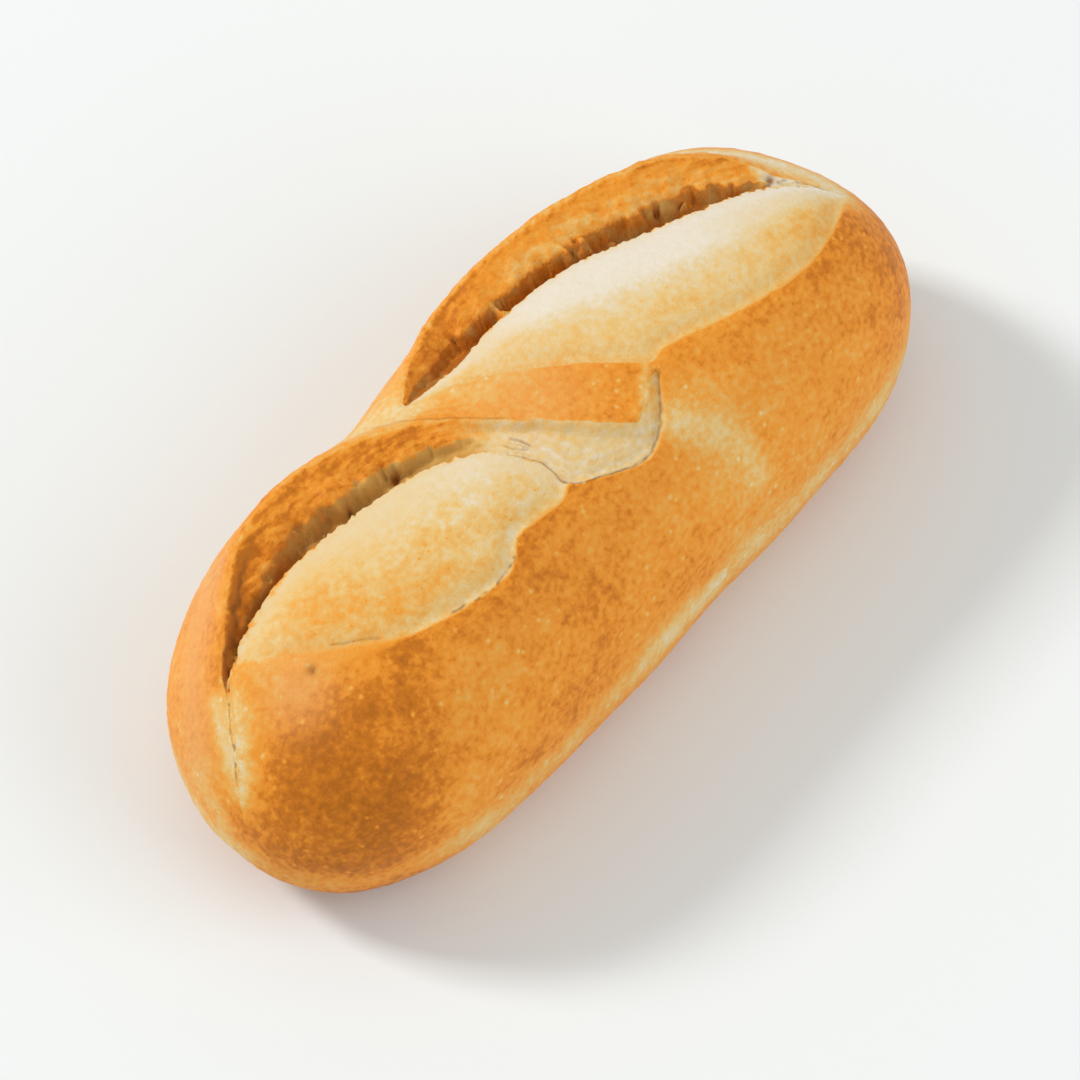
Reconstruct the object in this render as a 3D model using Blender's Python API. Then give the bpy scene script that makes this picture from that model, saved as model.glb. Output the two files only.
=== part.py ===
"""A crusty white bread roll, slashed twice before baking. Each slash opened: its upper lip curled up
into an ear, and the crumb that swelled out below it baked into a pale tongue.

The roll lies along X on the plane Z = 0, its ears facing +Y. Lengths are metres. Its skin is worked
out from the uncut roll: lines laid on that mark where the crevices, the ears' rims and the tongues'
borders run, each with its own height over the uncut skin, and the skin is shaped between them.
"""

import bmesh
import bpy
import numpy as np
from mathutils import Matrix, noise
from mathutils.kdtree import KDTree

MM = 0.001

# The uncut roll.
LENGTH = 170 * MM
HALF_WIDTH = 35 * MM
HEIGHT = 49.6 * MM
BELLY = 17 * MM  # the height at which it is widest
SUNK = 2 * MM  # how much of its round underside the tray flattened
END_SQUARENESS = 4.3
END_ROUNDNESS = 2.15
DOME = 2.3  # the section's superellipse over the belly
UNDERSIDE = 3.2  # and under it
WAIST_AT = -12 * MM  # a shallow notch in the +Y side, between the two ears
WAIST_DEPTH = 4.5 * MM
WAIST_SPREAD = 24 * MM
SWAY = 5 * MM  # how far its ends bend towards -Y
SWAY_LEVEL = 0.14  # the part of that bend which leaves the whole width centred on X
LUMPS = 0.5 * MM
LUMP_SIZE = 22 * MM
# Where it is fuller or hollower than that: x, y, z, the height there and how far it spreads, in mm.
BULGES = [(-18, 28, 36, -2.4, 8), (79, 6, 34, -1.3, 12), (-4, -34, 9, 0.9, 12), (-67, -30, 9, -0.9, 12),
          (-80, 12, 14, -0.9, 12)]
FLAT_FOOT = 5 * MM  # nothing is shaped on the underside, and fully only from this height up

# The slashes' lines: stops of x, y and height over the uncut skin, in millimetres.
FAR_CREVICE = [(-13.5, 17.7, 0), (-3, 16.8, -4), (12, 17.4, -5), (26, 14.9, -5), (41, 8.2, -5), (56, 2.7, -3),
               (63, -0.4, -1.2), (69.5, -4, -0.3), (75.5, -10, 0)]
FAR_RIM = [(-13.6, 18.1, 0.4), (-4, 22.8, 2), (11, 24.8, 4.2), (29, 21.6, 5.8), (46, 16.1, 5.6),
           (57, 11.5, 4), (63.5, 6, 2.2), (67, 1, 0.6), (70, -3, 0.1), (75.7, -9.8, 0)]
FAR_BORDER = [(-13.7, 17.4, 0.3), (-2, 9.8, 1), (9, -0.3, 1.2), (18.3, -9.7, 1.3), (24, -10.5, 1.2),
              (38.5, -14.9, 0.8), (54, -17, 0.6), (66, -14.5, 0.5), (75.4, -10.3, 0)]
NEAR_CREVICE = [(-82, -3.2, 0), (-73.5, 6, 0), (-69.5, 8.8, -1.6), (-62, 11.4, -4), (-51, 12.1, -5),
                (-35, 9.4, -5), (-22, 5.4, -3), (-13, -1, -1.2), (-9, -8.5, -0.9), (-8.4, -14.3, -0.9),
                (-3, -17.5, -0.9), (6, -20.4, -0.9), (13, -17.5, -0.9), (18.8, -12.1, 0)]
NEAR_RIM = [(-82.1, -3, 0), (-73.6, 6.6, 0.05), (-69.8, 10, 0.9), (-65, 12.7, 1.9), (-60, 15.4, 3.1),
            (-50, 19.8, 4.6), (-38, 20.1, 4.7), (-26, 16.8, 3.4), (-14, 8.8, 1.7), (-3, -4, 1.2),
            (7.8, -15.2, 1), (11.4, -14.6, 0.8), (18.2, -11.4, 0.2)]
NEAR_BORDER = [(-82, -3.4, 0), (-75, 3.4, 0.1), (-70, 7.6, 0.1), (-66, 3.3, 0.4), (-57, -7, 0.6),
               (-47, -13.8, 0.8), (-30, -17.7, 1), (-22.5, -14.8, 0.9), (-17.5, -15, 0.7),
               (-11.8, -15.7, 0.5)]
CRACK_FROM = 9  # from this stop on the near crevice is a crack, and the near border runs along it
NEAR_BORDER += [(x, y - 0.3, 0.4) for x, y, _ in NEAR_CREVICE[CRACK_FROM:]]
TORN_FROM, TORN_BY = 0.48, 0.56  # between these parts of the near crevice its ear turns into a torn shelf

# The shape between the lines.
EDGE = 0.2  # how deep a tongue's edge lies, as a part of the crevice's depth beside it
WALL = 1.1 * MM  # how far the drop from there to the crevice's floor leans
LIP = 0.5  # where, on the way up an ear, the hollow under it ends and its inner face starts
LOW_LIP = 0.22  # how much further up that is at a slash's -X end
LIP_STEEPNESS = 0.16  # how much of the way that step takes
HOLLOW, FACE = 0.12, 0.5  # the parts of the ear's rise below and above that step
SHELF = 0.3  # the part of a torn shelf's rise that comes before its step
SHELF_STEP = 0.75  # and where the step starts, on the way to the rim
EAR_FOOT = 4.5 * MM  # how far down the outside of the roll an ear swells
BORDER_FOOT = 6 * MM
TONGUE_SWELL = 1.5 * MM
FULL_TONGUE = 20 * MM  # a narrower tongue swells less
DIP = 0.6  # how far a tongue dips inside its border, as a part of the border's height
DIP_FROM, DIP_TO = 0.8 * MM, 4 * MM
LINE_END = 0.12  # the part of a crevice over which its slash opens, and closes

# The mesh.
RINGS = 340
SEGMENTS = 280
TRIANGLES = 11000
PINCH = 2.5 * MM  # how far its points are drawn in towards a crevice
PINCH_REACH = 10 * MM
PINCH_LIMIT = 0.15  # the closest they come, as a part of their spacing


def middle(x):
    """The y of the roll's middle at x."""
    return SWAY * (SWAY_LEVEL - (2 * x / LENGTH) ** 2)


def uncut(x, angle):
    """The uncut skin at x and at an angle round X, which is 0 at +Y and a quarter turn at the top."""
    taper = (1 - np.abs(2 * x / LENGTH).clip(0, 1 - 1e-9) ** END_SQUARENESS) ** (1 / END_ROUNDNESS)
    across, up = np.cos(angle), np.sin(angle)
    waist = WAIST_DEPTH * np.exp(-(((x - WAIST_AT) / WAIST_SPREAD) ** 2))
    half = (HALF_WIDTH - np.where(across > 0, waist, 0) * across**2) * taper
    rise = np.where(up > 0, HEIGHT - BELLY, BELLY + SUNK) * taper
    power = np.where(up > 0, DOME, UNDERSIDE)
    reach = (np.abs(across / half) ** power + np.abs(up / rise) ** power) ** (-1 / power)
    return np.stack([x, middle(x) + reach * across, np.maximum(BELLY + reach * up, 0)], axis=-1)


def unit(vectors):
    return vectors / np.linalg.norm(vectors, axis=-1, keepdims=True).clip(1e-12)


def skin_at(points):
    """The uncut skin closest to points near it, and its outward normals."""
    x = points[:, 0]
    angle = np.arctan2(points[:, 2] - BELLY, points[:, 1] - middle(x))
    inside = x.clip(0.1 * MM - LENGTH / 2, LENGTH / 2 - 0.1 * MM)
    ahead = uncut(inside + 0.05 * MM, angle) - uncut(inside - 0.05 * MM, angle)
    turn = uncut(inside, angle + 0.002) - uncut(inside, angle - 0.002)
    return uncut(x, angle), unit(np.cross(turn, ahead))


def smooth_curve(stops, steps=16):
    """Points of a smooth curve through the stops, with steps to each span."""
    knots = np.concatenate([[2 * stops[0] - stops[1]], stops, [2 * stops[-1] - stops[-2]]])
    t = np.linspace(0, 1, steps, endpoint=False)[:, None]
    spans = [
        b + t * (c - a) / 2 + t**2 * (2 * a - 5 * b + 4 * c - d) / 2 + t**3 * (3 * b - a - 3 * c + d) / 2
        for a, b, c, d in zip(knots, knots[1:], knots[2:], knots[3:])
    ]
    return np.concatenate([*spans, stops[-1:]])


def eased(value, start, end):
    """0 at start and 1 at end, with a smooth change between."""
    t = ((value - start) / (end - start)).clip(0, 1)
    return t * t * (3 - 2 * t)


def part_way(gone, left):
    return (gone / (np.abs(gone + left) + 1e-9)).clip(0, 1)


class Line:
    """A line laid over the skin from -X to +X, which carries a height over it."""

    def __init__(self, stops):
        plan = smooth_curve(np.array(stops) * MM)
        angles = np.linspace(0.1, np.pi - 0.1, 400)
        sections = [uncut(np.full(len(angles), x), angles) for x in plan[:, 0]]
        tops = [np.interp(-y, -section[:, 1], section[:, 2]) for y, section in zip(plan[:, 1], sections)]
        self.points = np.column_stack([plan[:, :2], tops])
        self.heights = plan[:, 2]
        self.along = np.linspace(0, 1, len(plan))
        self.ahead = unit(np.gradient(self.points, axis=0))
        self.side = np.cross(skin_at(self.points)[1], self.ahead)
        self.tree = KDTree(len(plan))
        for index, point in enumerate(self.points):
            self.tree.insert(point, index)
        self.tree.balance()

    def meet(self, points):
        """The index of the line's nearest point, and the distance from it, above 0 on the +Y side."""
        nearest = np.array([self.tree.find(point)[1] for point in points])
        offset = points - self.points[nearest]
        across = np.sum(offset * self.side[nearest], axis=1)
        past = np.abs(np.sum(offset * self.ahead[nearest], axis=1)) - MM
        return nearest, np.copysign(np.hypot(across, past.clip(0)), across)


class Slash:
    """An opened slash: an ear from its rim down to the crevice, and a tongue from there to the border.
    From torn_from to torn_by along the crevice, the ear turns into a low shelf of torn crumb."""

    def __init__(self, crevice, rim, border, torn_from, torn_by):
        self.crevice, self.rim, self.border = Line(crevice), Line(rim), Line(border)
        self.lip = LIP + LOW_LIP * eased(self.crevice.along, 0.3, LINE_END)
        self.torn = eased(self.crevice.along, torn_from, torn_by)
        self.open = eased(self.crevice.along, 0, LINE_END) * eased(self.crevice.along, 1, 1 - LINE_END)

    def pinched(self, points):
        """The skin's points, drawn in towards the crevice, where the shape is finest."""
        nearest, distance = self.crevice.meet(points)
        size = np.abs(distance)
        drawn = (size + PINCH_LIMIT * PINCH) / (size + PINCH) - 1
        drawn *= distance * np.exp(-((size / PINCH_REACH) ** 2)) * self.open[nearest]
        return skin_at(points + self.crevice.side[nearest] * drawn[:, None])[0]

    def ear(self, at, from_crevice, from_rim, rim):
        """The height of the ear's inside, or of the torn shelf."""
        floor = self.crevice.heights[at]
        up = part_way(from_crevice, -from_rim)
        shelf = SHELF * up**0.5 + (1 - SHELF) * eased(up, SHELF_STEP, 1)
        lip = self.lip[at]
        hollow = HOLLOW * up / lip
        face = FACE + (1 - FACE) * ((up - lip) / (1 - lip)).clip(0, 1)
        curl = hollow + (face - hollow) * eased(up, lip - LIP_STEEPNESS, lip)
        curl += (shelf - curl) * self.torn[at]
        drop = eased(from_crevice, 0, WALL)
        return EDGE * floor * (1 - drop) + (floor + (rim - floor) * curl) * drop

    def tongue(self, at, from_crevice, from_border, border):
        """The height of the tongue's top."""
        edge = EDGE * self.crevice.heights[at]
        over = part_way(-from_crevice, from_border)
        swell = TONGUE_SWELL * np.sin(np.pi * over) * eased(from_border - from_crevice, 0, FULL_TONGUE)
        dip = DIP * border * eased(from_border, 0, DIP_FROM) * eased(from_border, DIP_TO, DIP_FROM)
        return edge + (border - edge) * over + swell * self.open[at] - dip

    def heights(self, points):
        """The height over the skin inside the slash, that of the crust round it, and where the inside is."""
        at, from_crevice = self.crevice.meet(points)
        rim_at, from_rim = self.rim.meet(points)
        border_at, from_border = self.border.meet(points)
        rim, border = self.rim.heights[rim_at], self.border.heights[border_at]

        in_ear = (from_crevice > 0) & (from_rim < 0)
        in_tongue = (from_crevice <= 0) & (from_border > 0)
        ear = self.ear(at, from_crevice, from_rim, rim)
        inside = np.where(in_ear, ear, self.tongue(at, from_crevice, from_border, border))
        over_rim = np.where(from_rim > 0, rim * np.exp(-((from_rim / EAR_FOOT) ** 2)), 0)
        over_border = np.where(from_border < 0, border * np.exp(-((from_border / BORDER_FOOT) ** 2)), 0)
        beside = (at > 0) & (at < len(self.crevice.points) - 1)
        return inside, np.maximum(over_rim, over_border), (in_ear | in_tongue) & beside


def baked(points):
    """Points of the baked roll for points on the uncut skin."""
    far = Slash(FAR_CREVICE, FAR_RIM, FAR_BORDER, torn_from=1, torn_by=2)
    near = Slash(NEAR_CREVICE, NEAR_RIM, NEAR_BORDER, TORN_FROM, TORN_BY)
    points, normals = skin_at(near.pinched(far.pinched(points)))
    far_inside, far_crust, in_far = far.heights(points)
    near_inside, near_crust, in_near = near.heights(points)
    height = np.select([in_far, in_near], [far_inside, near_inside], np.maximum(far_crust, near_crust))
    height += [LUMPS * noise.noise(point / LUMP_SIZE) for point in points]
    for *centre, bulge, spread in np.array(BULGES) * MM:
        height += bulge * np.exp(-np.sum((points - centre) ** 2, axis=1) / spread**2)
    height *= eased(points[:, 2], 0, FLAT_FOOT)
    return points + normals * height[:, None]


def make_bread(collection):
    """The roll, from a sphere whose poles lie at its two ends."""
    shape = bmesh.new()
    poles_on_x = Matrix.Rotation(np.pi / 2, 4, "Y")
    bmesh.ops.create_uvsphere(shape, u_segments=SEGMENTS, v_segments=RINGS, radius=1, matrix=poles_on_x)
    directions = np.array([vertex.co for vertex in shape.verts])
    skin = uncut(directions[:, 0] * LENGTH / 2, np.arctan2(directions[:, 2], directions[:, 1]))
    for vertex, place in zip(shape.verts, baked(skin)):
        vertex.co = place
    mesh = bpy.data.meshes.new("bread")
    shape.to_mesh(mesh)
    shape.free()
    mesh.shade_smooth()
    bread = bpy.data.objects.new("bread", mesh)
    collection.objects.link(bread)
    fewer = bread.modifiers.new("fewer faces", "DECIMATE")
    fewer.ratio = TRIANGLES / (2 * SEGMENTS * (RINGS - 1))
    return bread


def make_crust():
    """The material of the whole surface: golden, matt crust."""
    crust = bpy.data.materials.new("crust")
    crust.use_nodes = True
    surface = crust.node_tree.nodes["Principled BSDF"].inputs
    surface["Base Color"].default_value = (0.72, 0.38, 0.11, 1)
    surface["Roughness"].default_value = 0.6
    surface["Metallic"].default_value = 0
    return crust


for item in list(bpy.data.objects):
    bpy.data.objects.remove(item)
roll = bpy.data.collections.new("bread roll")
bpy.context.scene.collection.children.link(roll)
make_bread(roll).data.materials.append(make_crust())
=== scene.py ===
"""A crusty white bread roll, slashed twice before baking, on a pale floor.

It is built up as a baker would make it: the dough, the slashes, the tears that opened in the oven, the
baked surface and its browning, and last the floor, the light and the camera. Lengths are metres.
"""

import math

import bmesh
import bpy
import numpy as np
from mathutils import Matrix, Vector, noise
from mathutils.kdtree import KDTree


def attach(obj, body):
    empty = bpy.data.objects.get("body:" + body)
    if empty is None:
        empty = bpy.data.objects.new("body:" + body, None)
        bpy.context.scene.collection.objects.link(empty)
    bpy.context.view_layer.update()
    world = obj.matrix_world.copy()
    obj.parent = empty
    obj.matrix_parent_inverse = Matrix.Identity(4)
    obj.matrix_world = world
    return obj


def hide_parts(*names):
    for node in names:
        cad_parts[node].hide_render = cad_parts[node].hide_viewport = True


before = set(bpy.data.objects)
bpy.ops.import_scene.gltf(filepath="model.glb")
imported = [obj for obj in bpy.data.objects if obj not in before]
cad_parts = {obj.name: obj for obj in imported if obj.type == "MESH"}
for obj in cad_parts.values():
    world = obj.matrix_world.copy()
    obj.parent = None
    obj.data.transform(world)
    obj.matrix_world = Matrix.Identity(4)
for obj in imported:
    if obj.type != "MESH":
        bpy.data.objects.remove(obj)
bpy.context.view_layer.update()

# --- The dough -------------------------------------------------------------------------------------
# One piece of white wheat dough, rolled into a short blunt stick. It proved and baked on a tray, which
# flattened its underside. Its ends bend a little towards -Y, and its +Y side has a shallow waist.

mm = 0.001
length = 170 * mm
half_width = 35 * mm
height = 49.6 * mm
belly = 17 * mm  # the height at which it is widest
sunk = 2 * mm  # how much of the round underside the tray flattened
end_squareness, end_roundness = 4.3, 2.15
dome, underside = 2.3, 3.2  # the section's superellipse over and under the belly
waist_at, waist_depth, waist_spread = -12 * mm, 4.5 * mm, 24 * mm
sway, sway_level = 5 * mm, 0.14


def middle(x):
    """The y of the roll's middle at x."""
    return sway * (sway_level - (2 * x / length) ** 2)


def uncut(x, angle):
    """The uncut skin at x and at an angle round X, which is 0 at +Y and a quarter turn at the top."""
    taper = (1 - np.abs(2 * x / length).clip(0, 1 - 1e-9) ** end_squareness) ** (1 / end_roundness)
    across, up = np.cos(angle), np.sin(angle)
    waist = waist_depth * np.exp(-(((x - waist_at) / waist_spread) ** 2))
    half = (half_width - np.where(across > 0, waist, 0) * across**2) * taper
    rise = np.where(up > 0, height - belly, belly + sunk) * taper
    power = np.where(up > 0, dome, underside)
    reach = (np.abs(across / half) ** power + np.abs(up / rise) ** power) ** (-1 / power)
    return np.stack([x, middle(x) + reach * across, np.maximum(belly + reach * up, 0)], axis=-1)


def unit(vectors):
    return vectors / np.linalg.norm(vectors, axis=-1, keepdims=True).clip(1e-12)


def skin_at(points):
    """The uncut skin closest to points near it, and its outward normals."""
    x = points[:, 0]
    angle = np.arctan2(points[:, 2] - belly, points[:, 1] - middle(x))
    inside = x.clip(0.1 * mm - length / 2, length / 2 - 0.1 * mm)
    ahead = uncut(inside + 0.05 * mm, angle) - uncut(inside - 0.05 * mm, angle)
    turn = uncut(inside, angle + 0.002) - uncut(inside, angle - 0.002)
    return uncut(x, angle), unit(np.cross(turn, ahead))


# --- The slashes -----------------------------------------------------------------------------------
# Two slanting cuts, made with a blade held flat, each of which opened in the oven. The upper lip
# curled up and dried into an ear, and the dough below it swelled out as a pale, thin-skinned tongue.


def eased(value, start, end):
    """0 at start and 1 at end, with a smooth change between."""
    t = ((value - start) / (end - start)).clip(0, 1)
    return t * t * (3 - 2 * t)


def part_way(gone, left):
    return (gone / (np.abs(gone + left) + 1e-9)).clip(0, 1)


def lumps(points, size):
    """Smooth unevenness of about this size, between -1 and 1."""
    return np.array([noise.noise(place) for place in (points / size).tolist()])


def smooth_curve(stops, steps=16):
    """Points of a smooth curve through the stops, with steps to each span."""
    knots = np.concatenate([[2 * stops[0] - stops[1]], stops, [2 * stops[-1] - stops[-2]]])
    t = np.linspace(0, 1, steps, endpoint=False)[:, None]
    spans = [
        b + t * (c - a) / 2 + t**2 * (2 * a - 5 * b + 4 * c - d) / 2 + t**3 * (3 * b - a - 3 * c + d) / 2
        for a, b, c, d in zip(knots, knots[1:], knots[2:], knots[3:])
    ]
    return np.concatenate([*spans, stops[-1:]])


class Line:
    """A line laid over the skin from -X to +X, given by stops of x, y and a height over the skin, in mm."""

    def __init__(self, stops):
        plan = smooth_curve(np.array(stops) * mm)
        angles = np.linspace(0.1, np.pi - 0.1, 400)
        sections = [uncut(np.full(len(angles), x), angles) for x in plan[:, 0]]
        tops = [np.interp(-y, -section[:, 1], section[:, 2]) for y, section in zip(plan[:, 1], sections)]
        self.points = np.column_stack([plan[:, :2], tops])
        self.heights = plan[:, 2]
        self.along = np.linspace(0, 1, len(plan))
        steps = np.linalg.norm(np.diff(self.points, axis=0), axis=1)
        self.gone = np.concatenate([[0], np.cumsum(steps)])  # the distance from its start
        self.ahead = unit(np.gradient(self.points, axis=0))
        self.side = np.cross(skin_at(self.points)[1], self.ahead)
        self.tree = KDTree(len(plan))
        for index, point in enumerate(self.points):
            self.tree.insert(point, index)
        self.tree.balance()

    def meet(self, points):
        """The index of the line's nearest point, and the distance from it, above 0 on the +Y side."""
        nearest = np.array([self.tree.find(point)[1] for point in points.tolist()])
        offset = points - self.points[nearest]
        across = np.sum(offset * self.side[nearest], axis=1)
        past = np.abs(np.sum(offset * self.ahead[nearest], axis=1)) - mm
        return nearest, np.copysign(np.hypot(across, past.clip(0)), across)


class Slash:
    """An opened slash: an ear from its rim down to the crevice, and a tongue from there to the border.
    From torn_from to torn_by along the crevice, the ear turns into a low shelf of torn crumb."""

    edge = 0.2  # how deep the tongue's edge lies, as a part of the crevice's depth beside it
    wall = 1.1 * mm  # how far the drop from there to the crevice's floor leans
    lip, lip_steepness = 0.5, 0.16  # how far up the ear its hollow ends and its inner face starts
    low_lip = 0.22  # how much further up that is at a slash's -X end
    hollow, face = 0.12, 0.5  # the parts of the ear's rise below and above that step
    shelf, shelf_step = 0.3, 0.75  # the part of the torn shelf's rise before its step, and where that starts
    ear_foot, border_foot = 4.5 * mm, 6 * mm  # how far the skin outside swells towards rim and border
    swell, full_tongue = 1.5 * mm, 20 * mm  # a narrower tongue swells less
    dip, dip_from, dip_to = 0.6, 0.8 * mm, 4 * mm  # the tongue dips inside its border
    line_end = 0.12  # the part of the crevice over which the slash opens, and closes
    pinch, pinch_reach, pinch_limit = 2.5 * mm, 10 * mm, 0.15
    ragged = 1.0 * mm  # how far the tongue's edge wanders, where the crumb tore
    tear, small_tear = 1.5 * mm, 0.7 * mm  # and over what lengths
    wavy, wave = 0.6 * mm, 4 * mm  # how far the ear's rim wanders, and over what length

    def __init__(self, crevice, rim, border, torn_from, torn_by):
        self.crevice, self.rim, self.border = Line(crevice), Line(rim), Line(border)
        self.torn = eased(self.crevice.along, torn_from, torn_by)
        opening, closing = self.line_end, 1 - self.line_end
        self.open = eased(self.crevice.along, 0, opening) * eased(self.crevice.along, 1, closing)
        self.lips = self.lip + self.low_lip * eased(self.crevice.along, 0.3, self.line_end)

    def pinched(self, points):
        """The skin's points, drawn in towards the crevice, where the shape is finest."""
        nearest, distance = self.crevice.meet(points)
        size = np.abs(distance)
        drawn = (size + self.pinch_limit * self.pinch) / (size + self.pinch) - 1
        drawn *= distance * np.exp(-((size / self.pinch_reach) ** 2)) * self.open[nearest]
        return skin_at(points + self.crevice.side[nearest] * drawn[:, None])[0]

    def lay(self, points):
        """Where points of the skin lie in this slash, and how high it raises them."""
        self.at, self.across = self.crevice.meet(points)
        torn_edge = 0.6 * lumps(points, self.tear) + 0.4 * lumps(points, self.small_tear)
        self.from_crevice = self.across + self.ragged * torn_edge * self.open[self.at]
        rim_at, self.from_rim = self.rim.meet(points)
        self.from_rim += self.wavy * lumps(points, self.wave)
        border_at, self.from_border = self.border.meet(points)
        rim, border = self.rim.heights[rim_at], self.border.heights[border_at]
        beside = (self.at > 0) & (self.at < len(self.crevice.points) - 1)
        self.in_ear = (self.from_crevice > 0) & (self.from_rim < 0) & beside
        self.in_tongue = (self.from_crevice <= 0) & (self.from_border > 0) & beside
        past_end = -np.abs(self.from_crevice)
        self.ear_inside = np.where(beside, np.minimum(self.from_crevice, -self.from_rim), past_end)
        self.tongue_inside = np.where(beside, np.minimum(-self.from_crevice, self.from_border), past_end)
        self.rise = part_way(self.across, -self.from_rim)
        self.over = part_way(-self.from_crevice, self.from_border)

        floor = self.crevice.heights[self.at]
        torn = self.torn[self.at]
        low_shelf = self.shelf * self.rise**0.5 + (1 - self.shelf) * eased(self.rise, self.shelf_step, 1)
        wander = 0.2 * lumps(points, 3.4 * mm) + 0.12 * lumps(points, 1.5 * mm)
        lip = self.lips[self.at] + wander
        self.up_face = (self.rise - lip) / (1 - lip)  # under 0 in the hollow
        hollow = self.hollow * self.rise / self.lip
        face = self.face + (1 - self.face) * self.up_face.clip(0, 1)
        curl = hollow + (face - hollow) * eased(self.up_face, -2 * self.lip_steepness, 0)
        curl += (low_shelf - curl) * torn
        drop = eased(self.from_crevice, 0, self.wall)
        ear = self.edge * floor * (1 - drop) + (floor + (rim - floor) * curl) * drop

        wide = eased(self.from_border - self.from_crevice, 0, self.full_tongue)
        swell = self.swell * np.sin(np.pi * self.over) * wide * self.open[self.at]
        dip = self.dip * border * eased(self.from_border, 0, self.dip_from)
        dip *= eased(self.from_border, self.dip_to, self.dip_from)
        tongue = self.edge * floor * (1 - self.over) + border * self.over + swell - dip

        over_rim = np.where(self.from_rim > 0, rim * np.exp(-((self.from_rim / self.ear_foot) ** 2)), 0)
        over_border = border * np.exp(-((self.from_border / self.border_foot) ** 2))
        outside = np.maximum(over_rim, np.where(self.from_border < 0, over_border, 0))
        return np.select([self.in_ear, self.in_tongue], [ear, tongue], outside)


near_crevice = [(-82, -3.2, 0), (-73.5, 6, 0), (-69.5, 8.8, -1.6), (-62, 11.4, -4), (-51, 12.1, -5),
                (-35, 9.4, -5), (-22, 5.4, -3), (-13, -1, -1.2), (-9, -8.5, -0.9), (-8.4, -14.3, -0.9),
                (-3, -17.5, -0.9), (6, -20.4, -0.9), (13, -17.5, -0.9), (18.8, -12.1, 0)]
near_border = [(-82, -3.4, 0), (-75, 3.4, 0.1), (-70, 7.6, 0.1), (-66, 3.3, 0.4), (-57, -7, 0.6),
               (-47, -13.8, 0.8), (-30, -17.7, 1), (-22.5, -14.8, 0.9), (-17.5, -15, 0.7),
               (-11.8, -15.7, 0.5)]
crack_from = 9  # from this stop on the near crevice is a crack, and the near border runs along it
near = Slash(
    crevice=near_crevice,
    rim=[(-82.1, -3, 0), (-73.6, 6.6, 0.05), (-69.8, 10, 0.9), (-65, 12.7, 1.9), (-60, 15.4, 3.1),
         (-50, 19.8, 4.6), (-38, 20.1, 4.7), (-26, 16.8, 3.4), (-14, 8.8, 1.7), (-3, -4, 1.2),
         (7.8, -15.2, 1), (11.4, -14.6, 0.8), (18.2, -11.4, 0.2)],
    border=near_border + [(x, y - 0.3, 0.4) for x, y, _ in near_crevice[crack_from:]],
    torn_from=0.48,
    torn_by=0.56,
)
far = Slash(
    crevice=[(-13.5, 17.7, 0), (-3, 16.8, -4), (12, 17.4, -5), (26, 14.9, -5), (41, 8.2, -5), (56, 2.7, -3),
             (63, -0.4, -1.2), (69.5, -4, -0.3), (75.5, -10, 0)],
    rim=[(-13.6, 18.1, 0.4), (-4, 22.8, 2), (11, 24.8, 4.2), (29, 21.6, 5.8), (46, 16.1, 5.6), (57, 11.5, 4),
         (63.5, 6, 2.2), (67, 1, 0.6), (70, -3, 0.1), (75.7, -9.8, 0)],
    border=[(-13.7, 17.4, 0.3), (-2, 9.8, 1), (9, -0.3, 1.2), (18.3, -9.7, 1.3), (24, -10.5, 1.2),
            (38.5, -14.9, 0.8), (54, -17, 0.6), (66, -14.5, 0.5), (75.4, -10.3, 0)],
    torn_from=1,
    torn_by=2,
)

# --- The cracks ------------------------------------------------------------------------------------
# Fine splits in the skin, where it set before the dough had stopped swelling: along the torn shelf, at
# the slashes' ends, along the near ear's rim and tongue, and under the bridge. Each is a shallow groove,
# painted dark inside: painted shade, over toasted brown where it runs through crust. The lines inside
# the near ear's rim, on the near tongue and under the bridge are painted shadow below an overhanging
# edge. Stops are x and y in mm.


class Crack(Line):
    """A crack of a strength up to 1. The part of it that is given as broken has gaps in it."""

    def __init__(self, stops, strength, broken=0.3):
        super().__init__([(x, y, 0) for x, y in stops])
        self.broken = broken
        self.strength = strength * eased(self.along, 0, 0.15) * eased(self.along, 1, 0.85)


shelf_from = 7  # from this stop of the near crevice on, the shelf's lower edge is cracked
shelf_edge = [(x, y) for x, y, _ in near_crevice[shelf_from:]]
near_tail = [(-82, -3.2), (-78.3, 1), (-76, 3.4), (-73.5, 6), (-70.5, 8.2)]
far_tail = [(62, 0.9), (66.7, -0.6), (69.2, -2.1), (72.1, -5.5), (73.5, -7.9)]
furrow = [(-73.2, 6.6), (-70.6, 9), (-67.5, 10.9), (-63, 13.2), (-60.8, 14.4), (-58.4, 15.4), (-55.5, 16.7),
          (-51, 18.3)]  # inside the near ear's rim
under_bridge = [(-22, 18.2), (-17.7, 14.4), (-12, 7.3), (-5.1, -1.1)]
on_shelf = [(-8.6, -1.2), (-7.8, -3.2), (-7.3, -5.8)]
also_on_shelf = [(-10.6, -1.5), (-9.6, -3.6), (-8, -5.8)]
on_tongue = [(-58.5, -3.6), (-57.6, -4.4), (-55.8, -6.1), (-53.3, -8.3), (-51.7, -10.1)]
seam = [(-46.2, -14.1), (-40.2, -15.6), (-33.3, -17.3), (-29.2, -17.2), (-25.4, -16.3), (-21.2, -14.4)]
cracks = [
    Crack(shelf_edge, 0.75),
    Crack(near_tail, 0.8, broken=1),
    Crack(far_tail, 0.7, broken=1),
    Crack(furrow, 1, broken=0.35),
    Crack(under_bridge, 0.45),
    Crack(on_shelf, 0.7),
    Crack(also_on_shelf, 0.5),
    Crack(on_tongue, 0.4),
    Crack(seam, 0.85, broken=1),
]
crack_depth, crack_spread = 0.25 * mm, 0.3 * mm
crack_reach = 0.9 * mm  # beyond this a crack shapes and colours nothing
crack_wander = 0.3 * mm
no_crack = 9 * mm  # the distance to start from


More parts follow.
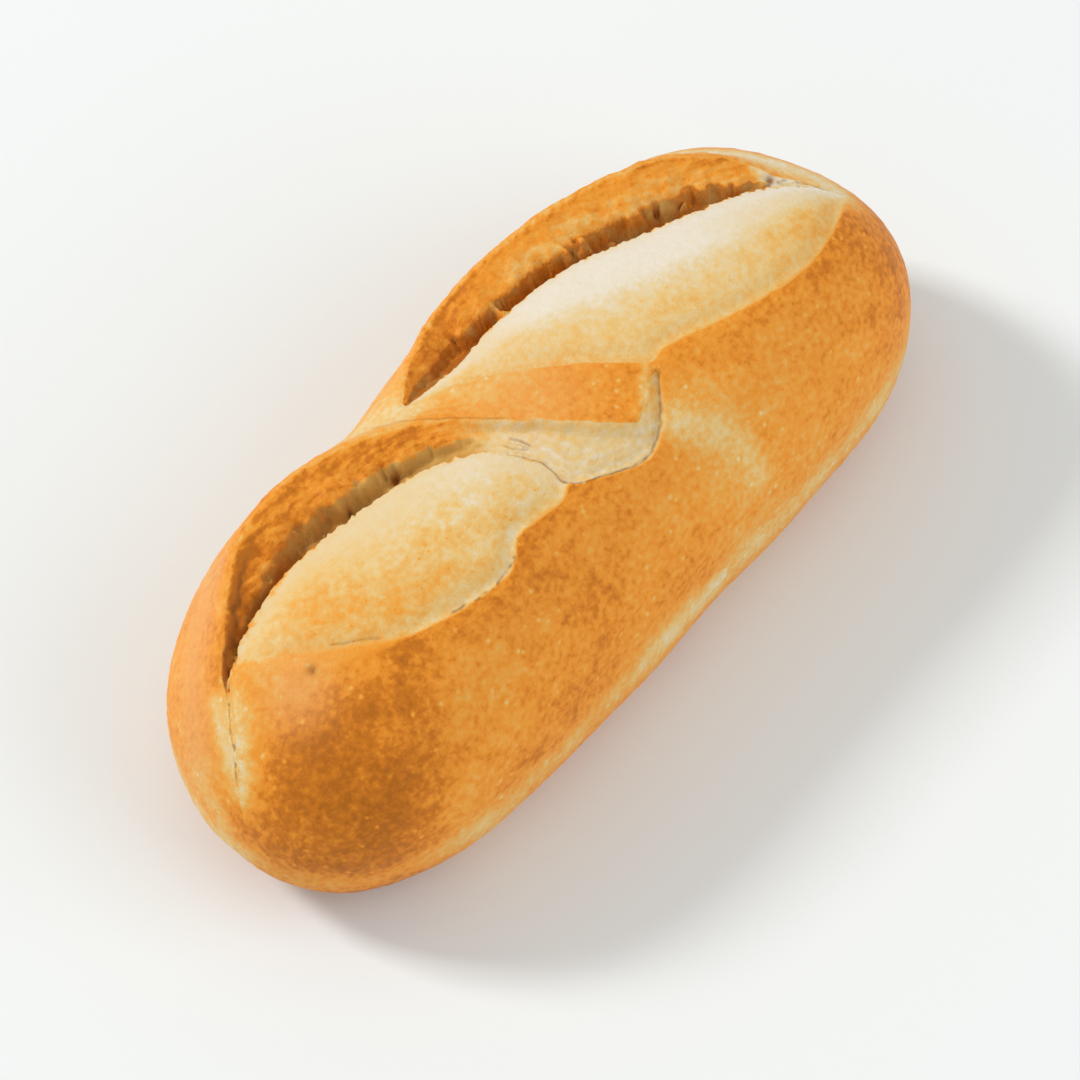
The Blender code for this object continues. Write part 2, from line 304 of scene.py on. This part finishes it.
def lay_cracks(points):
    """The signed distance to the nearest crack, and how strong that one is there."""
    nearest, strength = np.full(len(points), no_crack), np.zeros(len(points))
    wander = crack_wander * lumps(points, 1.9 * mm)
    gaps = eased(lumps(points, 1.1 * mm), -0.15, 0.25)
    for crack in cracks:
        at, distance = crack.meet(points)
        distance += wander
        closer = np.abs(distance) < np.abs(nearest)
        nearest = np.where(closer, distance, nearest)
        here = crack.strength[at] * (np.abs(distance) < crack_reach) * (1 - crack.broken * (1 - gaps))
        strength = np.where(closer, here, strength)
    return nearest, strength


# --- The baked roll --------------------------------------------------------------------------------
# The whole surface of the roll, one thin crust over airy crumb. Skin and tongues are finely blistered,
# and the inside of the ears is drawn out lengthwise, and pitted where bubbles broke.

rings, segments = 330, 200
finer_margin = 0.6 * mm
more_on_top = 0.35  # how much closer its points lie at the top than half way down
# Where it is fuller or hollower than its smooth shape: x, y, z, the height there and its spread, in mm.
bulges = [(-18, 28, 36, -2.4, 8), (79, 6, 34, -1.3, 12), (-4, -34, 9, 0.9, 12), (-67, -30, 9, -0.9, 12),
          (-80, 12, 14, -0.9, 12)]
flat_foot = 5 * mm  # nothing is shaped on the underside, and fully only from this height up
dough_lump, dough_lump_size = 0.5 * mm, 22 * mm
streak, streak_size = 0.25 * mm, 0.9 * mm
pit_depth, pits_apart, pit_radius = 0.5 * mm, 1.8 * mm, 0.8 * mm
crumb_size = 1.3 * mm
hollow_crumb, shelf_crumb, shelf_streak = 0.15 * mm, 0.17 * mm, 0.12 * mm
blister, blisters_apart, blister_radius = 0.1 * mm, 2.6 * mm, 1.3 * mm
skin_lump, skin_lump_sizes = 0.07 * mm, (1.5 * mm, 3.4 * mm)
slashes_apart = 50 * mm  # in the patterns that run along the slashes, so that theirs differ


def bubbles(points, size, radius):
    """1 in the middle of round spots that lie about size apart, and 0 from their radius on."""
    found = np.array([noise.voronoi(place)[0][0] for place in (points / size).tolist()])
    return 1 - eased(found * size, 0, radius)


shape = bmesh.new()
poles_on_x = Matrix.Rotation(math.pi / 2, 4, "Y")
bmesh.ops.create_uvsphere(shape, u_segments=segments, v_segments=rings, radius=1, matrix=poles_on_x)
ways = np.array([vertex.co for vertex in shape.verts])
angle = np.arctan2(ways[:, 2], ways[:, 1])
skin = uncut(ways[:, 0] * length / 2, angle + more_on_top * np.cos(angle))
skin, outward = skin_at(near.pinched(far.pinched(skin)))
for vertex, place in zip(shape.verts, skin):
    vertex.co = place

# Inside the ears, where the crumb tore, and along the cracks, the mesh is twice as fine.
far.lay(skin)
near.lay(skin)
fine = np.maximum(far.ear_inside, near.ear_inside) > -finer_margin
fine |= np.abs(lay_cracks(skin)[0]) < crack_reach
torn_edges = [edge for edge in shape.edges if fine[edge.verts[0].index] and fine[edge.verts[1].index]]
bmesh.ops.subdivide_edges(shape, edges=torn_edges, cuts=1, use_grid_fill=True)
bmesh.ops.triangulate(shape, faces=[face for face in shape.faces if len(face.verts) > 4])
skin, outward = skin_at(np.array([vertex.co for vertex in shape.verts]))

far_height, near_height = far.lay(skin), near.lay(skin)
in_far, in_near = far.in_ear | far.in_tongue, near.in_ear | near.in_tongue
lift = np.select([in_far, in_near], [far_height, near_height], np.maximum(far_height, near_height))
lift += dough_lump * lumps(skin, dough_lump_size)
for *centre, bulge, spread in np.array(bulges) * mm:
    lift += bulge * np.exp(-np.sum((skin - centre) ** 2, axis=1) / spread**2)

in_ear = far.in_ear | near.in_ear
in_tongue = (far.in_tongue | near.in_tongue) & ~in_ear
slash_shift = np.where(in_far, 0, 1) * slashes_apart
torn = np.where(near.in_ear & ~in_far, near.torn[near.at], 0)
rise = np.where(far.in_ear, far.rise, np.where(near.in_ear, near.rise, 1))
gone = np.where(in_far, far.crevice.gone[far.at], near.crevice.gone[near.at])
across = np.where(in_far, far.across, near.across)
drawn_out = np.column_stack([gone / 6, across, slash_shift])  # lengthwise, as the crumb tore
up_face = np.where(in_far, far.up_face, near.up_face)

ear = in_ear * (1 - torn)
on_face = ear * eased(up_face, -0.1, 0.05)
in_hollow = ear - on_face
streaks = lumps(drawn_out, streak_size) + 0.6 * lumps(drawn_out, streak_size / 2)
lift += streak * on_face * streaks * eased(rise, 1, 0.9)
pits = bubbles(np.column_stack([gone / 1.5, across, slash_shift]), pits_apart, pit_radius)
lift -= pit_depth * in_hollow * pits
crumb = lumps(skin, crumb_size)
lift += hollow_crumb * in_hollow * crumb
lift += (shelf_crumb * crumb + shelf_streak * streaks) * in_ear * torn
lift += blister * bubbles(skin, blisters_apart, blister_radius) * (1 - in_ear)
lift += skin_lump * sum(lumps(skin, size) for size in skin_lump_sizes)
crack_distance, crack_strength = lay_cracks(skin)
lift -= crack_depth * crack_strength * np.exp(-((crack_distance / crack_spread) ** 2))
# One strand of crumb was left across the far hollow.
strand, strand_spread, strand_height = [(14.2, 22.4, 0), (13.4, 19.6, 0), (12.7, 16.8, 0)], 0.6 * mm, 0.8
on_strand = in_hollow * np.exp(-((Line(strand).meet(skin)[1] / strand_spread) ** 2))
lift -= strand_height * lift * on_strand
# Bubbles that broke open: x, y, depth and radius, in mm. Their pits are also painted dark, as shade in them.
broken_bubbles = [(-25.5, 10.4, 1, 1.15), (-34.9, 13.5, 0.6, 0.6), (-63, -4, 0.5, 0.8),
                  (66.4, 0.2, 0.5, 0.8), (46.7, 10.8, 0.7, 0.7), (30.5, 16.7, 0.7, 0.7)]
burst = np.zeros(len(skin))
for x, y, depth, radius in np.array(broken_bubbles) * mm:
    away = np.hypot(skin[:, 0] - x, skin[:, 1] - y)
    inside = np.exp(-(away**2 + (lift - lift[away.argmin()]) ** 2) / radius**2)
    burst += inside
    lift -= depth * inside
lift *= eased(skin[:, 2], 0, flat_foot)

for vertex, place in zip(shape.verts, skin + outward * lift[:, None]):
    vertex.co = place
mesh = bpy.data.meshes.new("roll")
shape.to_mesh(mesh)
shape.free()
mesh.shade_smooth()
roll = bpy.data.objects.new("roll", mesh)
bpy.context.scene.collection.objects.link(roll)
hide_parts("bread")
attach(roll, "root")


def keep(name, values):
    """Stores a value of every point with the mesh, for the finish to read."""
    kind, field = ("FLOAT_VECTOR", "vector") if values.ndim == 2 else ("FLOAT", "value")
    mesh.attributes.new(name, kind, "POINT").data.foreach_set(field, values.astype(np.float32).ravel())


# --- How far each place browned ----------------------------------------------------------------------
# Bread browns along one scale, here from 0, pale crumb, over 0.3, yellow, and 0.6, golden crust, to 1,
# dark crust. The skin was baked longest, the tongues opened late, and the foot lay shaded on the tray.
# Some values also hold painted shade, in the ears' hollows and on the near ear's face, and a painted
# highlight along the ears' rims.
# Numbers without a unit are amounts on that scale, and places, lengths and spreads in mm.


def patch(x, y, spread):
    """1 at a place on the skin, given in mm, fading out around it."""
    away = np.hypot(skin[:, 0] - x * mm, skin[:, 1] - y * mm)
    return np.exp(-((away / (spread * mm)) ** 2))


def beside(stops, spread):
    """1 along a line through stops of x and y in mm, fading out beside it."""
    away = Line([(x, y, 0) for x, y in stops]).meet(skin)[1]
    return np.exp(-((away / (spread * mm)) ** 2))


x_mm, y_mm, z_mm = skin.T / mm
skin_bake = np.full(len(skin), 0.71)

# The ends are darkest, the -Y side and the bridge paler, and a pale line runs along the bridge.
skin_bake += 0.19 * eased(patch(-71, -13, 26), 0.3, 0.7) + 0.1 * patch(72, -18, 13)
skin_bake -= 0.05 * patch(45, -30, 22) + 0.1 * patch(20, -33, 14) + 0.05 * patch(-84, 2, 12)
skin_bake -= 0.05 * patch(18, -26, 12) + 0.06 * patch(2, -21, 5) + 0.12 * patch(-3, 3, 12)
skin_bake -= 0.16 * beside([(-14, 16.5), (-7.5, 12.3), (-3.6, 8.8), (2.1, 4.8)], 3)

# The ridge that each tongue pushed up beside it is darker, but paler where the near slash ends.
ridge = 5 * mm
near_ridge = np.where(near.from_border < 0, np.exp(-((near.from_border / ridge) ** 2)), 0)
far_ridge = np.where(far.from_border < 0, np.exp(-((far.from_border / ridge) ** 2)), 0)
skin_bake += 0.08 * np.maximum(near_ridge * eased(x_mm, -56, -46), far_ridge * eased(x_mm, 14, 22))
skin_bake -= 0.24 * near_ridge * eased(x_mm, -48, -58) + 0.13 * patch(-68, -2, 7)

# It stretched, and stayed pale, below the shelf's end, between the ears, past the slashes' ends and at
# the end of the bridge, and the ears' outer sides are a little paler.
skin_bake -= 0.25 * beside([(11.6, -18.7), (15.6, -21.9), (19.1, -24.8), (21.3, -28.2), (21.6, -31.5)], 3.4)
skin_bake -= 0.16 * patch(14.5, -17.5, 3) + 0.06 * patch(20, -18, 7)
skin_bake -= 0.3 * patch(-19, 22, 9)
skin_bake -= 0.6 * beside([(60, 18), (68, 10), (73, 2), (75, -3), (75, -8)], 5)
skin_bake -= 0.42 * beside([(-79.5, 1.4), (-77.5, 4.2), (-75.2, 7.2)], 1.9)
skin_bake -= 0.2 * beside([(-82, -3), (-78, 0), (-74, 4)], 2.2) + 0.25 * beside([(-83, 4), (-86, -5)], 4)
skin_bake -= 0.16 * patch(-82, 1, 9) + 0.1 * patch(-56, -31, 10) + 0.05 * patch(-12, 13, 7)
skin_bake -= 0.3 * beside([(17.5, -10.2), (14, -13), (11.5, -15.8)], 1.1)
skin_bake -= 0.08 * eased(y_mm, 5, 25)

# Near the tray a pale, uneven line runs all the way round, lighter and wider at the far end.
at_far_end = eased(x_mm, 35, 65)
foot_line = 15.5 + 1.6 * lumps(skin * [1, 1, 0], 9 * mm) + 1.5 * at_far_end
paler = 0.25 + 0.1 * lumps(skin, 7 * mm) + 0.04 * at_far_end
skin_bake -= paler * np.exp(-(((z_mm - foot_line) / (3.8 + 1.5 * at_far_end)) ** 2))

# The tongues, from the crevice to the border: palest where the dough came out last.
far_tongue = np.interp(far.over, [0, 0.1, 0.4, 0.6, 0.9, 1], [0.08, 0.0, 0.03, 0.27, 0.36, 0.45])
far_tongue += 0.1 * eased(x_mm, 16, 4) * eased(far.over, 0.7, 0.4)
far_tongue += 0.1 * eased(x_mm, 42, 58) * eased(far.over, 0.02, 0.35)
far_tongue -= 0.1 * np.exp(-((far.from_border / (1.6 * mm)) ** 2)) * eased(x_mm, 30, 60)
near_tongue = np.interp(near.over, [0, 0.1, 0.45, 0.8, 0.93, 1], [0.2, 0.15, 0.28, 0.35, 0.31, 0.5])
near_tongue += 0.14 * patch(-52, 1, 9) + 0.15 * patch(-42, -9, 8) + 0.1 * patch(-64, 0, 5)
near_tongue -= 0.1 * patch(-20, -4, 7) + 0.1 * patch(-66, 3, 6) + 0.16 * beside(seam, 1.6)
tongue_bake = np.where(in_far, far_tongue, near_tongue)
# Outward from the crevice they are blotched with gold. The near one's border is blurred at its -X end.
golden = in_tongue * np.where(in_far, 0.8 * eased(far.over, 0.35, 0.6), eased(near.over, 0.15, 0.5))
soft_border = np.where(in_far, 1, 1 + 5 * eased(x_mm, -48, -58))

# The ears' inner faces, from the hollow up to the rim, the hollows below them and the torn shelf. The
# hollows' dark brown is partly crust browned deep under the ears and partly painted shade.
# Each face is paler right at the rim, a painted highlight along its edge.
far_face = np.interp(far.up_face, [0, 0.3, 0.6, 0.9, 1], [0.48, 0.53, 0.62, 0.74, 0.5])
far_face += 0.05 * eased(x_mm, 44, 58) + 0.2 * eased(x_mm, 22, 6)
near_face = np.interp(near.up_face, [0, 0.3, 0.6, 0.85, 1], [0.71, 0.75, 0.81, 0.85, 0.59])
# Towards its -X end the near ear's face is painted darker, as shade, and is paler at the very end. A line of
# painted shadow runs along the furrow under its rim, and just inside the rim there the face is painted
# lighter, against the shade the rim casts.
near_face += 0.04 * eased(x_mm, -48, -58) + 0.12 * eased(x_mm, -61, -66) - 0.5 * eased(x_mm, -71, -74)
near_face += 0.25 * beside(furrow, 0.8) - 0.12 * eased(near.up_face, 0.55, 0.9) * eased(x_mm, -50, -60)
# The near hollow is darkest: partly browned crust, partly painted shade.
near_hollow_and_shade = 0.96 - 0.3 * eased(x_mm, -38, -24) - 0.5 * eased(x_mm, -71, -74)
torn_crumb = np.interp(near.rise, [0, 0.5, 0.8, 1], [0.18, 0.19, 0.22, 0.36])
torn_crumb += 0.2 * eased(x_mm, -12, -19) + 0.2 * eased(x_mm, 10, 15)
near_face += (torn_crumb - near_face) * near.torn[near.at]
near_hollow_and_shade += (torn_crumb - near_hollow_and_shade) * near.torn[near.at]
burst_end = eased(x_mm, 63.5, 66)  # the far slash's end, pale as its tongue
face_bake = np.where(in_far, far_face + (0.14 - far_face) * burst_end, near_face)
# The far hollow is darkest too, partly browned crust and partly painted shade, except at its pale end.
hollow_bake_and_shade = np.where(in_far, 1 - 0.86 * burst_end, near_hollow_and_shade)

# Pale crumb in the hollows, greyed to tan as painted shade, and peach-coloured places on the skin.
sooner = 9 * eased(up_face, -1, 0)  # a hollow's upper part gets its painted crumb shade from further down its length
crumb_shade_near = (0.42 + 0.58 * eased(x_mm + sooner, -41, -19)) * (1 - torn)
crumb_shade = np.where(in_far, 0.2 + 0.15 * eased(x_mm, 10, 40), crumb_shade_near)
peachy = 0.4 * patch(-67, -4, 6) + 0.25 * patch(0, 1, 10)
peachy += 0.45 * beside([(-55, 26), (-64, 21), (-73, 15), (-80, 8)], 5)

from_rim = np.minimum(np.abs(far.from_rim), np.abs(near.from_rim))

keep("skin bake", skin_bake)
keep("tongue bake", tongue_bake)
keep("hollow bake", hollow_bake_and_shade - 0.35 * on_strand)
keep("face bake", face_bake)
keep("up face", up_face)
keep("inside tongue", np.maximum(far.tongue_inside, near.tongue_inside) / mm / soft_border)
keep("inside ear", np.maximum(far.ear_inside, near.ear_inside) / mm)
keep("drawn out", drawn_out)
keep("streaked", ear * np.where(in_far, 0.8, 1) + 0.35 * in_ear * torn)
# The painted shade on the crumb in the hollows, then on the torn shelf.
keep("dusty hollow", crumb_shade * in_ear)
keep("patchy", 0.6 + 0.8 * in_far)  # how unevenly the painted crumb shade lies in a hollow
keep("dusty crumb", 0.08 * in_ear * torn * eased(x_mm, -12, 0) * eased(x_mm, 12, 8))  # a little painted crumb shade on the shelf
keep("peachy", peachy)
keep("rim", from_rim / mm)
keep("golden", golden)
keep("crack", crack_distance / mm)
keep("crack strength", crack_strength)
keep("burst", burst)

# --- The crust's finish ----------------------------------------------------------------------------
# Matt, dry crust. Its browning is mottled at every size, from some centimetres down to single bubbles,
# with pale specks on the skin and streaks where the crumb tore. Painted on it are a highlight along the
# ears' rims, grey-tan shade on the crumb in the hollows, and dark shade inside cracks and bubbles, over
# toasted brown in the crust's cracks.


class Wire:
    """One value or colour in a material. Sums written with it add their Math nodes."""

    def __init__(self, finish, socket):
        self.finish, self.socket = finish, socket

    def sum(self, operation, first, second):
        return self.finish.add("ShaderNodeMath", {"operation": operation}, {0: first, 1: second})

    def __add__(self, other):
        return self.sum("ADD", self, other)

    def __sub__(self, other):
        return self.sum("SUBTRACT", self, other)

    def __rsub__(self, other):
        return self.sum("SUBTRACT", other, self)

    def __mul__(self, other):
        return self.sum("MULTIPLY", self, other)

    def __abs__(self):
        return self.sum("ABSOLUTE", self, 0)

    __radd__, __rmul__ = __add__, __mul__


class Finish:
    """A material, whose nodes are added one by one."""

    def __init__(self, name):
        self.material = bpy.data.materials.new(name)
        self.material.use_nodes = True
        self.tree = self.material.node_tree
        self.surface = self.tree.nodes["Principled BSDF"]

    def add(self, kind, settings, sockets, out=0):
        """A new node, with its settings made first and then its sockets, and the wire from its output."""
        node = self.tree.nodes.new(kind)
        for name, value in settings.items():
            if name == "stops":
                while len(node.color_ramp.elements) < len(value):
                    node.color_ramp.elements.new(1)
                for element, (place, colour) in zip(node.color_ramp.elements, value):
                    element.position, element.color = place, (*colour, 1)
            else:
                setattr(node, name, value)
        self.connect(node, sockets)
        return Wire(self, node.outputs[out])

    def connect(self, node, sockets):
        for name, value in sockets.items():
            if isinstance(value, Wire):
                self.tree.links.new(value.socket, node.inputs[name])
            else:
                node.inputs[name].default_value = value

    def kept(self, name, out="Fac"):
        return self.add("ShaderNodeAttribute", {"attribute_name": name}, {}, out)

    def cloud(self, size, detail=2, where=None, roughness=0.5):
        """Soft noise of about this size, between -1 and 1, at a place in metres."""
        sockets = {"Scale": 1 / size, "Detail": detail, "Roughness": roughness}
        sockets["Vector"] = where or self.place
        return self.add("ShaderNodeTexNoise", {}, sockets) * 2 - 1

    def spots(self, apart, radius):
        """1 in the middle of small round spots, strewn about this far apart, and 0 from their radius on."""
        away = self.add("ShaderNodeTexVoronoi", {}, {"Vector": self.place, "Scale": 1 / apart}, "Distance")
        return self.rising(away, radius / apart, 0.2 * radius / apart)

    def rising(self, value, low, high):
        """0 up to low and 1 from high on, with a smooth change between."""
        settings = {"interpolation_type": "SMOOTHSTEP"}
        return self.add("ShaderNodeMapRange", settings, {"Value": value, "From Min": low, "From Max": high})

    def mixed(self, how_far, first, second):
        """first where how_far is 0, second where it is 1."""
        return first + (second - first) * how_far


crust = Finish("crust")
crust.place = crust.add("ShaderNodeTexCoord", {}, {}, "Object")
fine, middling, broad = crust.cloud(1.3 * mm, 3), crust.cloud(4.5 * mm, 3), crust.cloud(16 * mm, 2)
torn_lengthwise = crust.cloud(0.9 * mm, 2, where=crust.kept("drawn out", "Vector"))
golden = crust.kept("golden")

specks = crust.spots(2.2 * mm, 0.65 * mm) * crust.rising(crust.cloud(3 * mm, 1), -0.1, 0.3)
skin_browning = crust.kept("skin bake") + fine * 0.3 + middling * 0.17 + broad * 0.18 - specks * 0.28

flecks = crust.spots(1.5 * mm, 0.35 * mm) * crust.rising(crust.cloud(4 * mm, 2), -0.2, 0.3)
blotches = crust.rising(middling + broad * 0.7, -0.15, 0.35)
tongue_browning = crust.kept("tongue bake") + golden * (blotches * 0.14 - 0.07) + golden * fine * 0.2
tongue_browning = tongue_browning + fine * 0.06 + flecks * (golden * 0.2 + 0.04)

streaked = crust.kept("streaked")
in_face_now = crust.rising(crust.kept("up face") + fine * 0.12 + torn_lengthwise * 0.1, -0.1, 0.04)
ear_browning = crust.mixed(in_face_now, crust.kept("hollow bake"), crust.kept("face bake"))
pores = crust.spots(2.4 * mm, 0.45 * mm) * crust.rising(crust.cloud(4 * mm, 1), -0.1, 0.2)
ear_browning = ear_browning + streaked * (torn_lengthwise * 0.4 + pores * 0.2) + fine * 0.26
# A painted highlight: paler along the ears' rims.
rim_highlight = crust.rising(crust.kept("rim") + fine * 0.4, 0.5, 0.1)

ragged = fine * 0.5 + middling * 0.6
in_tongue_now = crust.rising(crust.kept("inside tongue") + ragged, -0.3, 0.3)
in_ear_now = crust.rising(crust.kept("inside ear"), -0.1, 0.15)
browning = crust.mixed(in_tongue_now, skin_browning, tongue_browning)
browning = crust.mixed(in_ear_now, browning, ear_browning) - rim_highlight * 0.08
# Thin lines of painted shade in the cracks, and painted shade in the pits of broken bubbles.
crack_shade_line = crust.rising(abs(crust.kept("crack")) + fine * 0.12, 0.42, 0) * crust.kept("crack strength")
darkest = crack_shade_line + crust.kept("burst") * 1.3
# How much grey-tan painted shade lies on the crumb in the hollows, in patches, and a little on the shelf.
patches = crust.kept("patchy") * (torn_lengthwise * 0.4 + middling * 0.8)
crumb_shade_cover = crust.rising(crust.kept("dusty hollow") + patches, 0, 1) * (1 - in_face_now) * 0.8
crumb_shade_cover = crumb_shade_cover + crust.kept("dusty crumb")

colour = crust.add(
    "ShaderNodeValToRGB",
    {
        "stops": [
            (0.0, (0.78, 0.715, 0.59)),
            (0.15, (0.76, 0.60, 0.34)),
            (0.3, (0.78, 0.52, 0.19)),
            (0.45, (0.79, 0.42, 0.095)),
            (0.6, (0.82, 0.33, 0.035)),
            (0.72, (0.79, 0.272, 0.018)),
            (0.85, (0.61, 0.182, 0.007)),
            (1.0, (0.45, 0.132, 0.004)),
        ]
    },
    {"Fac": browning},
    "Color",
)


def blended(how_far, first, second):
    return crust.add("ShaderNodeMix", {"data_type": "RGBA"}, {0: how_far, 6: first, 7: second}, 2)


# A grey-tan that paints pale crumb in shade, mixed into the hollows.
shaded_crumb_tan, peach = (0.53, 0.33, 0.085, 1), (0.77, 0.4, 0.16, 1)
# The colours painted in cracks: shade on crumb, and toasted brown with painted shade in crust.
crumb_crack_shade, crust_crack_brown_and_shade = (0.33, 0.18, 0.08, 1), (0.26, 0.08, 0.006, 1)
colour = blended(crust.kept("peachy"), colour, peach)
colour = blended(crumb_shade_cover * in_ear_now, colour, shaded_crumb_tan)
crack_shade_colour = blended(crust.rising(browning, 0.3, 0.6), crumb_crack_shade, crust_crack_brown_and_shade)
colour = blended(darkest, colour, crack_shade_colour)
grain = fine * 0.5 + crust.cloud(0.5 * mm, 2) * 0.5
relief = crust.add("ShaderNodeBump", {}, {"Height": grain, "Distance": 0.12 * mm, "Strength": 1}, "Normal")
dry = {"Roughness": 0.62, "Specular IOR Level": 0.2}
floury = {"Sheen Weight": 0.08, "Sheen Roughness": 0.45, "Sheen Tint": (1, 0.95, 0.86, 1)}
crust.connect(crust.surface, {"Base Color": colour, "Normal": relief, **dry, **floury})
mesh.materials.append(crust.material)

# --- The studio ------------------------------------------------------------------------------------
# A plain pale floor under soft daylight: a white window light on the ears' side, a wide, weaker
# reflector opposite it, and an even white sky. The camera looks down on the roll from between its
# -X end and its -Y side.

bpy.ops.mesh.primitive_plane_add(size=6)
floor = bpy.context.object
floor.name = "floor"
pale = Finish("pale floor")
pale.connect(pale.surface, {"Base Color": (0.82, 0.85, 0.84, 1), "Roughness": 0.9})
floor.data.materials.append(pale.material)

sky = bpy.data.worlds.new("sky")
sky.use_nodes = True
sky.node_tree.nodes["Background"].inputs["Color"].default_value = (1, 1, 1, 1)
sky.node_tree.nodes["Background"].inputs["Strength"].default_value = 0.56
bpy.context.scene.world = sky


def towards(azimuth, height):
    """The unit vector towards a place in the sky, its azimuth measured from +X and both in degrees."""
    turn, height = math.radians(azimuth), math.radians(height)
    return Vector((math.cos(turn) * math.cos(height), math.sin(turn) * math.cos(height), math.sin(height)))


def add_light(name, azimuth, height, distance, size, power):
    light = bpy.data.objects.new(name, bpy.data.lights.new(name, "AREA"))
    light.data.size = size
    light.data.energy = power
    light.location = towards(azimuth, height) * distance
    light.rotation_euler = light.location.to_track_quat("Z", "Y").to_euler()
    bpy.context.scene.collection.objects.link(light)


add_light("window", azimuth=112, height=39, distance=2.2, size=0.44, power=28)
add_light("reflector", azimuth=-70, height=35, distance=1.4, size=1.2, power=7.2)

camera = bpy.data.objects.new("camera", bpy.data.cameras.new("camera"))
bpy.context.scene.collection.objects.link(camera)
aim, away = Vector((-6.5, -6.6, 20)) * mm, 0.9
back = towards(azimuth=-140.8, height=57)
camera.location = aim + back * away
camera.rotation_euler = back.to_track_quat("Z", "Y").to_euler()
camera.data.lens = 172
camera.data.sensor_width = 36
bpy.context.scene.camera = camera
bpy.context.scene.view_settings.view_transform = "Standard"
